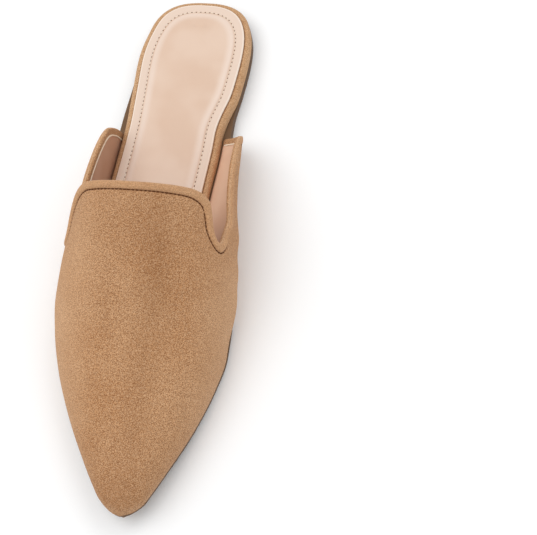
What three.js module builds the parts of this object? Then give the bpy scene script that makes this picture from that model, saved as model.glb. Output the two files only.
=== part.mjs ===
// A pointed flat mule, right shoe: moulded outsole, suede-wrapped footbed, padded sock and one hollow upper.
// Millimetres. The toe points along -Y, the heel along +Y, the wearer's inner (medial) side is +X, +Z is up.
import * as THREE from "three";
import { mergeVertices } from "three/addons/utils/BufferGeometryUtils.js";

// Driving dimensions
const shoeLength = 268; // outsole, from the back of the heel to the toe tip
const ballWidth = 81; // outsole across the joints of the toes
const instepHeight = 76; // ridge of the upper above the outsole, at the back of the tongue
const heelHeight = 6; // outsole under the heel
const foreThickness = 3; // outsole under the ball and the toes
const archLift = 1.6; // how far the waist of the outsole clears the floor
const toeSpring = 9; // how far the toe tip of the outsole clears the floor
const heelRound = 30; // radius of the outline at the back of the heel
const toeRound = 8; // length over which the outline rounds off at the toe tip
const noseRound = 15; // length over which the upper comes down at the toe tip
const soleBevel = 1.1; // bevel along the lower edge of the outsole
const footbedHeight = 5.4; // wrapped board above the outsole, at the heel
const footbedForeHeight = 3.2; // the same board under the vamp
const footbedRound = 2.2; // rounded upper edge of the wrapped board
const footbedInset = 0.1; // wrapped board inside the outsole's edge, where no upper covers it
const footbedRoom = 0.6; // between the covered board and the wall of the upper
const sockThickness = 1.9; // padded sock at its middle
const sockEdge = 0.9; // padded sock at its cut edge
const sockInset = 3; // sock inside the board's edge
const sockBorder = 5; // stretch over which the sock rises from its edge to its full thickness
const wall = 2; // upper: suede, backing and lining together
const featherInset = 1.2; // upper inside the outsole's edge at the quarters, along the line where they meet
const toeFeatherInset = -0.2; // the same at the toe, where the upper stands a little over the edge
const bandWidth = 4.2; // rolled band along the topline
const bandSwell = 0.9; // how far the rolled band stands out of the upper
const clearance = 0.3; // between any two pieces

// Character of the outline: how square its round ends are (2 is a circle), and how far the tip of an inset
// outline draws back for each millimetre of inset
const heelSquareness = 2.6;
const toeSquareness = 2;
const tipDrawback = 1.75;

// Outline of the outsole. at: share of shoeLength from the heel; medial, lateral: shares of ballWidth from the
// axis
const plan = [
  { at: 0.0, medial: 0.35, lateral: 0.346 },
  { at: 0.06, medial: 0.328, lateral: 0.34 },
  { at: 0.12, medial: 0.323, lateral: 0.366 },
  { at: 0.18, medial: 0.304, lateral: 0.385 },
  { at: 0.24, medial: 0.278, lateral: 0.408 },
  { at: 0.3, medial: 0.275, lateral: 0.425 },
  { at: 0.4, medial: 0.247, lateral: 0.462 },
  { at: 0.46, medial: 0.234, lateral: 0.49 },
  { at: 0.52, medial: 0.262, lateral: 0.515 },
  { at: 0.58, medial: 0.352, lateral: 0.537 },
  { at: 0.65, medial: 0.448, lateral: 0.55 },
  { at: 0.7, medial: 0.446, lateral: 0.53 },
  { at: 0.76, medial: 0.406, lateral: 0.479 },
  { at: 0.84, medial: 0.322, lateral: 0.374 },
  { at: 0.92, medial: 0.209, lateral: 0.235 },
  { at: 1.0, medial: 0.088, lateral: 0.075 },
];

// Where the sole leaves the floor. Shares of shoeLength
const archFrom = 0.24;
const archTo = 0.54;
const springFrom = 0.7;
const springCurve = 1.8;

// Sections of the last. at: share of shoeLength; ridge, swellUp: shares of instepHeight above the outsole;
// shift, medialSwell, lateralSwell: shares of ballWidth, the ridge towards the inner side and how far the
// widest line stands out past the feather line
const last = [
  { at: 0.24, ridge: 1.24, shift: 0.07, medialSwell: 0.105, lateralSwell: 0.0, swellUp: 0.22 },
  { at: 0.32, ridge: 1.17, shift: 0.078, medialSwell: 0.14, lateralSwell: 0.004, swellUp: 0.25 },
  { at: 0.4, ridge: 1.1, shift: 0.09, medialSwell: 0.177, lateralSwell: 0.004, swellUp: 0.265 },
  { at: 0.5, ridge: 1.0, shift: 0.105, medialSwell: 0.224, lateralSwell: -0.012, swellUp: 0.265 },
  { at: 0.55, ridge: 0.897, shift: 0.098, medialSwell: 0.182, lateralSwell: -0.014, swellUp: 0.237 },
  { at: 0.6, ridge: 0.775, shift: 0.084, medialSwell: 0.109, lateralSwell: 0.0, swellUp: 0.2 },
  { at: 0.65, ridge: 0.667, shift: 0.06, medialSwell: 0.036, lateralSwell: 0.001, swellUp: 0.169 },
  { at: 0.7, ridge: 0.57, shift: 0.038, medialSwell: 0.011, lateralSwell: 0.0, swellUp: 0.14 },
  { at: 0.8, ridge: 0.432, shift: 0.026, medialSwell: 0.011, lateralSwell: -0.001, swellUp: 0.105 },
  { at: 0.9, ridge: 0.285, shift: 0.014, medialSwell: 0.013, lateralSwell: -0.001, swellUp: 0.075 },
  { at: 1.0, ridge: 0.14, shift: 0.0, medialSwell: 0.004, lateralSwell: -0.002, swellUp: 0.05 },
];
const sideFullness = 0.85;
const topFullness = 0.9;
const swellShare = 0.3; // share of a section's parameter that lies below its widest point

// Topline, from the back of the quarter to the middle of the tongue. at: share of shoeLength; medialDown,
// lateralDown: share of the way from the ridge to the feather line on each side; foot: share of shoeLength
// where its ruling meets the feather line
const topline = [
  { at: 0.283, medialDown: 1.0, lateralDown: 1.0, foot: 0.283 },
  { at: 0.298, medialDown: 0.86, lateralDown: 0.87, foot: 0.305 },
  { at: 0.324, medialDown: 0.735, lateralDown: 0.765, foot: 0.33 },
  { at: 0.365, medialDown: 0.665, lateralDown: 0.71, foot: 0.37 },
  { at: 0.42, medialDown: 0.615, lateralDown: 0.675, foot: 0.425 },
  { at: 0.48, medialDown: 0.572, lateralDown: 0.655, foot: 0.485 },
  { at: 0.519, medialDown: 0.539, lateralDown: 0.636, foot: 0.54 },
  { at: 0.5475, medialDown: 0.501, lateralDown: 0.612, foot: 0.6 },
  { at: 0.5565, medialDown: 0.464, lateralDown: 0.576, foot: 0.665 },
  { at: 0.549, medialDown: 0.427, lateralDown: 0.53, foot: 0.73 },
  { at: 0.5225, medialDown: 0.395, lateralDown: 0.474, foot: 0.785 },
  { at: 0.505, medialDown: 0.367, lateralDown: 0.402, foot: 0.835 },
  { at: 0.499, medialDown: 0.32, lateralDown: 0.33, foot: 0.89 },
  { at: 0.4995, medialDown: 0.262, lateralDown: 0.266, foot: 0.95 },
  { at: 0.503, medialDown: 0.2, lateralDown: 0.205, foot: 1.0 },
  { at: 0.5062, medialDown: 0.135, lateralDown: 0.135, foot: 1.0 },
  { at: 0.508, medialDown: 0.067, lateralDown: 0.067, foot: 1.0 },
  { at: 0.5086, medialDown: 0.0, lateralDown: 0.0, foot: 1.0 },
];
const noseFan = 0.21; // share of the way down at the tongue's back within which rulings meet at the toe tip

// The wrapped board draws in from the outsole's edge to stand inside the quarters. Shares of shoeLength
const coverFrom = 0.225;
const coverTo = 0.284;

// The feather line nears the outsole's edge towards the toe. Shares of shoeLength
const featherFrom = 0.5;
const featherTo = 0.8;

// Mesh steps
const heelSteps = 10;
const middleSteps = 34;
const toeSteps = 8;
const sectionSteps = 26;
const stepsPerRow = 3;
const bandRows = [0, 0.2, 0.5, 0.8, 1];
const wallRows = 12;
const rowCrowding = 1.8;

// Tolerances, in millimetres
const mergeDistance = 1e-4;
const probe = 0.8; // reach of the differences that give the upper's normal
const tipMargin = 0.02; // keeps a section off the very tip, where it has no width
const noseMargin = 0.3; // the same for a section whose normal is wanted

const heelBack = shoeLength / 2;

function smooth(from, to, value) {
  const share = THREE.MathUtils.clamp((value - from) / (to - from), 0, 1);
  return share * share * (3 - 2 * share);
}

// One column of a table at a share of the length, as a smooth curve that doesn't overshoot its rows
function readColumn(table, column, at) {
  const end = table.length - 1;
  let row = table.findIndex((entry) => entry.at > at) - 1;
  row = at >= table[end].at ? end - 1 : Math.max(row, 0);
  const slope = (k) => (table[k + 1][column] - table[k][column]) / (table[k + 1].at - table[k].at);
  const tangent = (k) => {
    if (k === 0 || k === end) return slope(Math.min(k, end - 1));
    const before = slope(k - 1);
    const after = slope(k);
    return before * after > 0 ? (2 * before * after) / (before + after) : 0;
  };
  const step = table[row + 1].at - table[row].at;
  const u = THREE.MathUtils.clamp((at - table[row].at) / step, 0, 1);
  const leaving = table[row][column] * (1 + 2 * u) * (1 - u) ** 2 + tangent(row) * step * u * (1 - u) ** 2;
  const arriving = table[row + 1][column] * (3 - 2 * u) * u * u - tangent(row + 1) * step * (1 - u) * u * u;
  return leaving + arriving;
}

// 0 at the very end of an outline, 1 once it is past the rounded stretch
function roundEnd(distance, length, squareness) {
  const share = THREE.MathUtils.clamp(distance / length, 0, 1);
  return (1 - (1 - share) ** squareness) ** (1 / squareness);
}

const liftOf = (at) => {
  const spring = toeSpring * Math.max(0, (at - springFrom) / (1 - springFrom)) ** springCurve;
  const waist = THREE.MathUtils.clamp((at - archFrom) / (archTo - archFrom), 0, 1);
  return { spring, arch: archLift * Math.sin(Math.PI * waist) ** 2 };
};
const soleBottom = (at) => liftOf(at).spring + liftOf(at).arch;
const soleTop = (at) => {
  const forward = smooth(archFrom, archTo, at);
  return THREE.MathUtils.lerp(heelHeight, foreThickness, forward) + liftOf(at).spring;
};

// Middle and half width of the outline at a distance from the heel, drawn in by an inset and cut short at the
// toe
function planAt(distance, inset, shorter = 0) {
  const at = distance / shoeLength;
  const medial = readColumn(plan, "medial", at) * ballWidth;
  const lateral = readColumn(plan, "lateral", at) * ballWidth;
  const heel = roundEnd(distance - inset, heelRound - inset, heelSquareness);
  const toe = roundEnd(shoeLength - tipDrawback * inset - shorter - distance, toeRound, toeSquareness);
  return { middle: (medial - lateral) / 2, half: ((medial + lateral) / 2 - inset) * heel * toe };
}

// Distances from the heel: equal turns round both ends, equal steps between them
function stations(from, to) {
  const turn = (share) => 1 - Math.cos((share * Math.PI) / 2);
  const heel = Array.from({ length: heelSteps }, (_, k) => from + heelRound * turn(k / heelSteps));
  const toe = Array.from({ length: toeSteps + 1 }, (_, k) => to - toeRound * turn(1 - k / toeSteps));
  const middle = Array.from({ length: middleSteps }, (_, k) =>
    THREE.MathUtils.lerp(from + heelRound, to - toeRound, k / middleSteps),
  );
  return [...heel, ...middle, ...toe];
}

function meshFrom(name, points, faces, look) {
  const geometry = new THREE.BufferGeometry();
  geometry.setAttribute("position", new THREE.Float32BufferAttribute(points.flat(), 3));
  geometry.setIndex(faces.flat());
  const merged = mergeVertices(geometry, mergeDistance);
  const index = merged.index.array;
  const kept = [];
  for (let k = 0; k < index.length; k += 3) {
    const [a, b, c] = index.slice(k, k + 3);
    if (a !== b && b !== c && a !== c) kept.push(a, b, c);
  }
  merged.setIndex(kept);
  merged.computeVertexNormals();
  const mesh = new THREE.Mesh(merged, new THREE.MeshStandardMaterial(look));
  mesh.name = name;
  return mesh;
}

// A solid of stacked outlines, listed from the bottom up. Each level gives its inset and its height at a
// distance from the heel; the lowest and highest levels are closed straight across.
function stackedSolid(name, levels, look) {
  const points = [];
  const faces = [];
  const steps = heelSteps + middleSteps + toeSteps;
  const ring = 2 * (steps + 1);
  for (const level of levels) {
    const from = level.inset(0);
    const to = shoeLength - tipDrawback * level.inset(1) - (level.shorter ?? 0);
    const row = stations(from, to).map((distance) => {
      const at = distance / shoeLength;
      const { middle, half } = planAt(distance, level.inset(at), level.shorter);
      return { y: heelBack - distance, z: level.height(at), middle, half };
    });
    row.forEach((p) => points.push([p.middle + p.half, p.y, p.z]));
    row.reverse().forEach((p) => points.push([p.middle - p.half, p.y, p.z]));
  }
  for (let level = 0; level < levels.length - 1; level++) {
    for (let k = 0; k < ring; k++) {
      const a = level * ring + k;
      const b = level * ring + ((k + 1) % ring);
      faces.push([a, a + ring, b], [b, a + ring, b + ring]);
    }
  }
  const top = (levels.length - 1) * ring;
  for (let k = 0; k < steps; k++) {
    const across = ring - 1 - k;
    faces.push([k, k + 1, across], [across, k + 1, across - 1]);
    faces.push([top + k, top + across, top + k + 1], [top + across, top + across - 1, top + k + 1]);
  }
  return meshFrom(name, points, faces, look);
}

// Upper: the last's section at a distance from the heel, on one side (1 medial, -1 lateral)
const featherAt = (at) => THREE.MathUtils.lerp(featherInset, toeFeatherInset, smooth(featherFrom, featherTo, at));
const featherEnd = shoeLength - tipDrawback * featherAt(1);

function sectionAt(distance, side) {
  const at = distance / shoeLength;
  const toEnd = featherEnd - distance;
  const nose = roundEnd(toEnd, noseRound, toeSquareness);
  const tip = roundEnd(toEnd, toeRound, toeSquareness);
  const { middle, half } = planAt(distance, featherAt(at));
  const feather = { x: middle + side * half, z: soleTop(at) + clearance };
  const ridgeHeight = readColumn(last, "ridge", at) * instepHeight * nose;
  const swellColumn = side > 0 ? "medialSwell" : "lateralSwell";
  const swell = readColumn(last, swellColumn, at) * ballWidth * tip;
  const swellUp = Math.min(readColumn(last, "swellUp", at) * instepHeight * nose, ridgeHeight / 2);
  return {
    feather,
    widest: { x: feather.x + side * swell, z: feather.z + swellUp },
    ridge: { x: middle + readColumn(last, "shift", at) * ballWidth * tip, z: feather.z + ridgeHeight },
  };
}

// A section from its ridge to its feather line, as points and the length walked to each
function walkSection(distance, side) {
  const { feather, widest, ridge } = sectionAt(distance, side);
  const points = [];
  for (let k = 0; k <= sectionSteps; k++) {
    const down = k / sectionSteps;
    if (down > 1 - swellShare) {
      const under = (1 - down) / swellShare;
      const x = widest.x - (widest.x - feather.x) * (1 - under) ** 2;
      points.push({ x, z: feather.z + (widest.z - feather.z) * under });
    } else {
      const angle = (1 - down / (1 - swellShare)) * (Math.PI / 2);
      const x = ridge.x + (widest.x - ridge.x) * Math.cos(angle) ** sideFullness;
      points.push({ x, z: widest.z + (ridge.z - widest.z) * Math.sin(angle) ** topFullness });
    }
  }
  const walked = [0];
  for (let k = 1; k < points.length; k++) {
    walked.push(walked[k - 1] + Math.hypot(points[k].x - points[k - 1].x, points[k].z - points[k - 1].z));
  }
  return { points, walked, girth: walked[sectionSteps] };
}

// The upper unrolls to a plane: distance from the heel, and girth from the ridge (positive on the medial side)
function upperPoint(distance, girth) {
  const { points, walked, girth: whole } = walkSection(distance, girth < 0 ? -1 : 1);
  const wanted = Math.min(Math.abs(girth), whole);
  let k = walked.findIndex((length) => length >= wanted);
  k = Math.max(k, 1);
  const share = (wanted - walked[k - 1]) / Math.max(walked[k] - walked[k - 1], mergeDistance);
  const x = THREE.MathUtils.lerp(points[k - 1].x, points[k].x, share);
  const z = THREE.MathUtils.lerp(points[k - 1].z, points[k].z, share);
  return new THREE.Vector3(x, heelBack - distance, z);
}

const girthAt = (distance, side) => walkSection(distance, side).girth;

function upperNormal(distance, girth) {
  const side = girth < 0 ? -1 : 1;
  const share = girth / girthAt(Math.min(distance, featherEnd - tipMargin), side);
  const ahead = Math.min(distance + probe, featherEnd - tipMargin);
  const behind = Math.min(distance, ahead) - probe;
  const along = upperPoint(ahead, share * girthAt(ahead, side));
  along.sub(upperPoint(behind, share * girthAt(behind, side)));
  const here = Math.min(distance, featherEnd - noseMargin);
  const whole = girthAt(here, side);
  const step = Math.min(probe, whole / sectionSteps);
  const middle = THREE.MathUtils.clamp(share * whole, -whole + step, whole - step);
  const across = upperPoint(here, middle + step).sub(upperPoint(here, middle - step));
  return along.cross(across).normalize();
}

// The topline in the unrolled plane, from the medial quarter round the tongue to the lateral quarter
function toplineColumns() {
  const medial = topline.map((row) => new THREE.Vector3(row.at, row.medialDown, row.foot));
  const lateral = topline.map((row) => new THREE.Vector3(row.at, -row.lateralDown, row.foot));
  const curve = new THREE.CatmullRomCurve3([...medial, ...lateral.reverse().slice(1)], false, "centripetal");
  const count = (2 * topline.length - 2) * stepsPerRow;
  const columns = [];
  for (let k = 0; k <= count; k++) {
    const { x, y, z } = curve.getPoint(k / count);
    const distance = x * shoeLength;
    const side = k <= count / 2 ? 1 : -1;
    const footDown = Math.min(1, Math.abs(y) / noseFan);
    const foot = footDown < 1 ? featherEnd : Math.min(z * shoeLength, featherEnd);
    columns.push({ distance, girth: y * girthAt(distance, side), foot, footDown, side });
  }
  return columns;
}

// How far apart two places a unit apart in the unrolled plane are on the upper, along one direction
function stretchOf(place, direction) {
  const ahead = upperPoint(place.distance + direction.x * probe, place.girth + direction.y * probe);
  return ahead.distanceTo(upperPoint(place.distance, place.girth)) / probe;
}

// Rows of one column of the upper: across the rolled band, then down a ruling to the feather line
function upperColumn(columns, k) {
  const here = columns[k];
  const before = columns[Math.max(k - 1, 0)];
  const after = columns[Math.min(k + 1, columns.length - 1)];
  const along = new THREE.Vector2(after.distance - before.distance, after.girth - before.girth).normalize();
  const inward = new THREE.Vector2(-along.y, along.x);
  const atCorner = k === 0 || k === columns.length - 1;
  const stretch = atCorner ? 1 : stretchOf(here, inward);
  const rows = bandRows.map((share) => {
    const offset = (share * bandWidth) / stretch;
    let distance = here.distance + inward.x * offset;
    let girth = here.girth + inward.y * offset;
    if (atCorner) distance = here.distance + offset;
    const limit = girthAt(distance, here.side);
    if (atCorner || Math.abs(girth) > limit) girth = here.side * limit;
    return { distance, girth, swell: bandSwell * Math.sin(Math.PI * share) };
  });
  const from = rows[rows.length - 1];
  const end = atCorner ? from.distance : Math.max(here.foot, columns[0].distance + bandWidth);
  const endGirth = here.side * here.footDown * girthAt(end, here.side);
  for (let row = 1; row <= wallRows; row++) {
    const share = 1 - (1 - row / wallRows) ** rowCrowding;
    rows.push({
      distance: THREE.MathUtils.lerp(from.distance, end, share),
      girth: THREE.MathUtils.lerp(from.girth, endGirth, share),
      swell: 0,
    });
  }
  return rows;
}

function upper() {
  const columns = toplineColumns();
  const rowCount = bandRows.length + wallRows;
  const outer = [];
  const inner = [];
  columns.forEach((_, k) => {
    upperColumn(columns, k).forEach((place, row) => {
      const point = upperPoint(place.distance, place.girth);
      const normal = upperNormal(place.distance, place.girth);
      const floor = soleTop(place.distance / shoeLength) + clearance;
      const onFeather = row === rowCount - 1 || k === 0 || k === columns.length - 1;
      const inside = onFeather ? new THREE.Vector3(normal.x, normal.y, 0).normalize() : normal;
      const within = point.clone().addScaledVector(inside, -wall);
      within.z = onFeather ? floor : Math.max(within.z, floor);
      outer.push(point.addScaledVector(onFeather ? inside : normal, place.swell).toArray());
      inner.push(within.toArray());
    });
  });
  const shift = outer.length;
  const faces = [];
  const quad = (a, b, c, d) => faces.push([a, b, c], [a, c, d]);
  for (let k = 0; k < columns.length - 1; k++) {
    for (let row = 0; row < rowCount - 1; row++) {
      const a = k * rowCount + row;
      const b = a + rowCount;
      quad(a, b, b + 1, a + 1);
      quad(shift + a, shift + a + 1, shift + b + 1, shift + b);
    }
    const top = k * rowCount;
    const foot = top + rowCount - 1;
    quad(top, shift + top, shift + top + rowCount, top + rowCount);
    quad(foot, foot + rowCount, shift + foot + rowCount, shift + foot);
  }
  const lastColumn = (columns.length - 1) * rowCount;
  for (let row = 0; row < rowCount - 1; row++) {
    quad(row, row + 1, shift + row + 1, shift + row);
    const a = lastColumn + row;
    quad(a, shift + a, shift + a + 1, a + 1);
  }
  return meshFrom("upper", [...outer, ...inner], faces, { color: "#b98a60", roughness: 0.95, metalness: 0 });
}

function outsole() {
  const levels = [
    { inset: () => soleBevel, height: soleBottom },
    { inset: () => 0, height: (at) => soleBottom(at) + soleBevel },
    { inset: () => 0, height: soleTop },
  ];
  return stackedSolid("outsole", levels, { color: "#74563a", roughness: 0.6, metalness: 0 });
}

// The board is nearly as wide as the outsole where it shows, and stops short of the toe, where the upper comes down
const coveredInset = (at) => featherAt(at) + wall + footbedRoom;
const boardShort = noseRound / 2;
const boardInset = (at) => THREE.MathUtils.lerp(footbedInset, coveredInset(at), smooth(coverFrom, coverTo, at));
const boardHeight = (at) => {
  const forward = smooth(archFrom, archTo, at);
  return THREE.MathUtils.lerp(footbedHeight, footbedForeHeight, forward);
};
const boardBase = (at) => soleTop(at) + clearance;
const boardTop = (at) => boardBase(at) + boardHeight(at);

function footbed() {
  const halfway = 1 - Math.SQRT1_2; // where a rounded edge has turned through 45 degrees
  const edge = (inward, down) => ({
    inset: (at) => boardInset(at) + inward * footbedRound,
    height: (at) => boardTop(at) - down * Math.min(footbedRound, boardHeight(at) / 2),
    shorter: boardShort,
  });
  const foot = { inset: boardInset, height: boardBase, shorter: boardShort };
  const levels = [foot, edge(0, 1), edge(halfway, halfway), edge(1, 0)];
  return stackedSolid("footbed", levels, { color: "#b98a60", roughness: 0.95, metalness: 0 });
}

function sock() {
  const level = (inward, up) => ({
    inset: (at) => boardInset(at) + sockInset + inward,
    height: (at) => boardTop(at) + clearance + up,
    shorter: boardShort,
  });
  const levels = [level(0, 0), level(0, sockEdge), level(sockBorder, sockThickness)];
  return stackedSolid("sock", levels, { color: "#e0c4ae", roughness: 0.55, metalness: 0 });
}

const shoe = new THREE.Group();
shoe.add(outsole(), footbed(), sock(), upper());

// The origin is the middle of the shoe's box, on the floor
const box = new THREE.Box3().setFromObject(shoe);
const centre = box.getCenter(new THREE.Vector3());
shoe.position.set(-centre.x, -centre.y, -box.min.z);

export default shoe;
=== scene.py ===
# Pointed flat mule, right shoe: suede upper with a rolled topline, suede-wrapped footbed, padded leather sock
# and a thin ribbed outsole. The toe points along -Y and the wearer's inner (medial) side is +X.
# Lengths are in millimetres until a mesh is made.
import math

import bmesh
import bpy
import numpy as np
from mathutils import Matrix, Vector


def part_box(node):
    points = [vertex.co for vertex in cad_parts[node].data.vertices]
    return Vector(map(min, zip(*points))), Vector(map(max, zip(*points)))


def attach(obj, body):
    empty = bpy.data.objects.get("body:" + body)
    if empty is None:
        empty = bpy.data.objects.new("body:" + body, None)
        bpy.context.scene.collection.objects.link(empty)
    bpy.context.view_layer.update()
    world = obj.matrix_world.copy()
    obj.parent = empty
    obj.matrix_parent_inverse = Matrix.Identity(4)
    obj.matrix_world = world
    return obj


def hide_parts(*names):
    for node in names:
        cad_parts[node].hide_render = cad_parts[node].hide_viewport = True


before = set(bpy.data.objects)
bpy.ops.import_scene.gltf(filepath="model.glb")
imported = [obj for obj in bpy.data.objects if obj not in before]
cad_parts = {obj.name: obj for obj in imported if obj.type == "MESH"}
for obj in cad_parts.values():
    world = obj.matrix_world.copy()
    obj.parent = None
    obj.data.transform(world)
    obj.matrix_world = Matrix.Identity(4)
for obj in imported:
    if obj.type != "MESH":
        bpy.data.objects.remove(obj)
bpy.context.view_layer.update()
mm = 0.001
soleLow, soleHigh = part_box("outsole")
print("frame loaded")

# The shoe's own sizes, the same as in the part
shape = {
    "length": (soleHigh[1] - soleLow[1]) / mm,
    "ballWidth": 81,
    "instepHeight": 76,
    "heelHeight": 6,
    "foreThickness": 3,
    "archLift": 1.6,
    "toeSpring": 9,
    "heelRound": 30,
    "toeRound": 8,
    "noseRound": 15,
    "clearance": 0.3,
    "wall": 2,
    "featherInset": 1.2,
    "toeFeatherInset": -0.2,
    "featherFrom": 0.5,
    "featherTo": 0.8,
    "bandWidth": 4.2,
    "heelSquareness": 2.6,
    "toeSquareness": 2,
    "tipDrawback": 1.75,
    "archFrom": 0.24,
    "archTo": 0.54,
    "springFrom": 0.7,
    "springCurve": 1.8,
    "sideFullness": 0.85,
    "topFullness": 0.9,
    "swellShare": 0.3,
    "noseFan": 0.21,
    "sectionSteps": 96,
}
heelBack = soleHigh[1] / mm
featherEnd = shape["length"] - shape["tipDrawback"] * shape["toeFeatherInset"]

# Outline of the outsole: share of the length from the heel, and shares of the ball's width from the axis
plan = {
    "at": [0, 0.06, 0.12, 0.18, 0.24, 0.3, 0.4, 0.46, 0.52, 0.58, 0.65, 0.7, 0.76, 0.84, 0.92, 1],
    "medial": [
        0.35, 0.328, 0.323, 0.304, 0.278, 0.275, 0.247, 0.234,
        0.262, 0.352, 0.448, 0.446, 0.406, 0.322, 0.209, 0.088,
    ],
    "lateral": [
        0.346, 0.34, 0.366, 0.385, 0.408, 0.425, 0.462, 0.49,
        0.515, 0.537, 0.55, 0.53, 0.479, 0.374, 0.235, 0.075,
    ],
}

# Sections of the last: ridge and swellUp as shares of the instep's height, the others of the ball's width
last = {
    "at": [0.24, 0.32, 0.4, 0.5, 0.55, 0.6, 0.65, 0.7, 0.8, 0.9, 1],
    "ridge": [1.24, 1.17, 1.1, 1.0, 0.897, 0.775, 0.667, 0.57, 0.432, 0.285, 0.14],
    "shift": [0.07, 0.078, 0.09, 0.105, 0.098, 0.084, 0.06, 0.038, 0.026, 0.014, 0],
    "medialSwell": [0.105, 0.14, 0.177, 0.224, 0.182, 0.109, 0.036, 0.011, 0.011, 0.013, 0.004],
    "lateralSwell": [0, 0.004, 0.004, -0.012, -0.014, 0, 0.001, 0, -0.001, -0.001, -0.002],
    "swellUp": [0.22, 0.25, 0.265, 0.265, 0.237, 0.2, 0.169, 0.14, 0.105, 0.075, 0.05],
}

# Topline from the back of the quarter to the middle of the tongue: share of the length, share of the way down
# from the ridge on each side, and where its ruling meets the feather line
topline = [
    (0.283, 1.0, 1.0, 0.283),
    (0.298, 0.86, 0.87, 0.305),
    (0.324, 0.735, 0.765, 0.33),
    (0.365, 0.665, 0.71, 0.37),
    (0.42, 0.615, 0.675, 0.425),
    (0.48, 0.572, 0.655, 0.485),
    (0.519, 0.539, 0.636, 0.54),
    (0.5475, 0.501, 0.612, 0.6),
    (0.5565, 0.464, 0.576, 0.665),
    (0.549, 0.427, 0.53, 0.73),
    (0.5225, 0.395, 0.474, 0.785),
    (0.505, 0.367, 0.402, 0.835),
    (0.499, 0.32, 0.33, 0.89),
    (0.4995, 0.262, 0.266, 0.95),
    (0.503, 0.2, 0.205, 1.0),
    (0.5062, 0.135, 0.135, 1.0),
    (0.508, 0.067, 0.067, 1.0),
    (0.5086, 0.0, 0.0, 1.0),
]

# Where the rolled band is wider or narrower: walked from the middle of the tongue, in millimetres
bandWidening = [
    {"from": 0, "reach": 22, "more": -0.12},
    {"from": 38, "reach": 8, "more": 0.4},
    {"from": 50, "reach": 6, "more": 0.15},
]


def smooth(low, high, value):
    share = np.clip((value - low) / (high - low), 0, 1)
    return share * share * (3 - 2 * share)


def readColumn(table, column, at):
    # a smooth curve through one column that never overshoots its rows
    knots = np.array(table["at"], float)
    values = np.array(table[column], float)
    slopes = np.diff(values) / np.diff(knots)
    before, after = slopes[:-1], slopes[1:]
    rising = before * after > 0
    middle = np.where(rising, 2 * before * after / np.where(rising, before + after, 1), 0)
    tangents = np.concatenate([slopes[:1], middle, slopes[-1:]])
    row = np.clip(np.searchsorted(knots, at, side="right") - 1, 0, len(knots) - 2)
    step = knots[row + 1] - knots[row]
    u = np.clip((at - knots[row]) / step, 0, 1)
    leaving = values[row] * (1 + 2 * u) * (1 - u) ** 2 + tangents[row] * step * u * (1 - u) ** 2
    arriving = values[row + 1] * (3 - 2 * u) * u * u - tangents[row + 1] * step * (1 - u) * u * u
    return leaving + arriving


def roundEnd(distance, length, squareness):
    share = np.clip(distance / length, 0, 1)
    return (1 - (1 - share) ** squareness) ** (1 / squareness)


def springAt(at):
    past = np.maximum(0, (at - shape["springFrom"]) / (1 - shape["springFrom"]))
    return shape["toeSpring"] * past ** shape["springCurve"]


def soleBottom(at):
    waist = np.clip((at - shape["archFrom"]) / (shape["archTo"] - shape["archFrom"]), 0, 1)
    return springAt(at) + shape["archLift"] * np.sin(np.pi * waist) ** 2


def soleTop(at):
    forward = smooth(shape["archFrom"], shape["archTo"], at)
    return shape["heelHeight"] + (shape["foreThickness"] - shape["heelHeight"]) * forward + springAt(at)


def planAt(distance, inset, shorter=0):
    # middle and half width of the outline, drawn in by an inset and cut short at the toe
    at = distance / shape["length"]
    medial = readColumn(plan, "medial", at) * shape["ballWidth"]
    lateral = readColumn(plan, "lateral", at) * shape["ballWidth"]
    heel = roundEnd(distance - inset, shape["heelRound"] - inset, shape["heelSquareness"])
    toEnd = shape["length"] - shape["tipDrawback"] * inset - shorter - distance
    toe = roundEnd(toEnd, shape["toeRound"], shape["toeSquareness"])
    return (medial - lateral) / 2, ((medial + lateral) / 2 - inset) * heel * toe


def stations(start, end, counts):
    # equal turns round both ends, equal steps between them
    heelCount, middleCount, toeCount = counts
    heel = start + shape["heelRound"] * (1 - np.cos(np.arange(heelCount) / heelCount * math.pi / 2))
    toe = end - shape["toeRound"] * (1 - np.cos((1 - np.arange(toeCount + 1) / toeCount) * math.pi / 2))
    middle = np.linspace(start + shape["heelRound"], end - shape["toeRound"], middleCount, endpoint=False)
    return np.concatenate([heel, middle, toe])


partMiddle, partHalf = planAt(stations(0, shape["length"], (10, 34, 8)), 0)
axisX = soleLow[0] / mm - (partMiddle - partHalf).min()  # where the frame has the shoe's own axis
outlineDistance = stations(0, shape["length"], (60, 200, 60))
outlineMiddle, outlineHalf = planAt(outlineDistance, 0)
print(f"axis at {axisX:.3f} mm, heel at {heelBack:.3f} mm")


def featherAt(at):
    # how far the feather line lies inside the outsole's edge
    forward = smooth(shape["featherFrom"], shape["featherTo"], at)
    return shape["featherInset"] + (shape["toeFeatherInset"] - shape["featherInset"]) * forward


def sectionAt(distance, side):
    at = distance / shape["length"]
    toEnd = featherEnd - distance
    nose = roundEnd(toEnd, shape["noseRound"], shape["toeSquareness"])
    tip = roundEnd(toEnd, shape["toeRound"], shape["toeSquareness"])
    middle, half = planAt(distance, featherAt(at))
    footX = middle + side * half
    footZ = soleTop(at) + shape["clearance"]
    ridgeUp = readColumn(last, "ridge", at) * shape["instepHeight"] * nose
    swells = np.where(side > 0, readColumn(last, "medialSwell", at), readColumn(last, "lateralSwell", at))
    swellUp = np.minimum(readColumn(last, "swellUp", at) * shape["instepHeight"] * nose, ridgeUp / 2)
    wideX = footX + side * swells * shape["ballWidth"] * tip
    ridgeX = middle + readColumn(last, "shift", at) * shape["ballWidth"] * tip
    return footX, footZ, wideX, footZ + swellUp, ridgeX, footZ + ridgeUp


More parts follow.
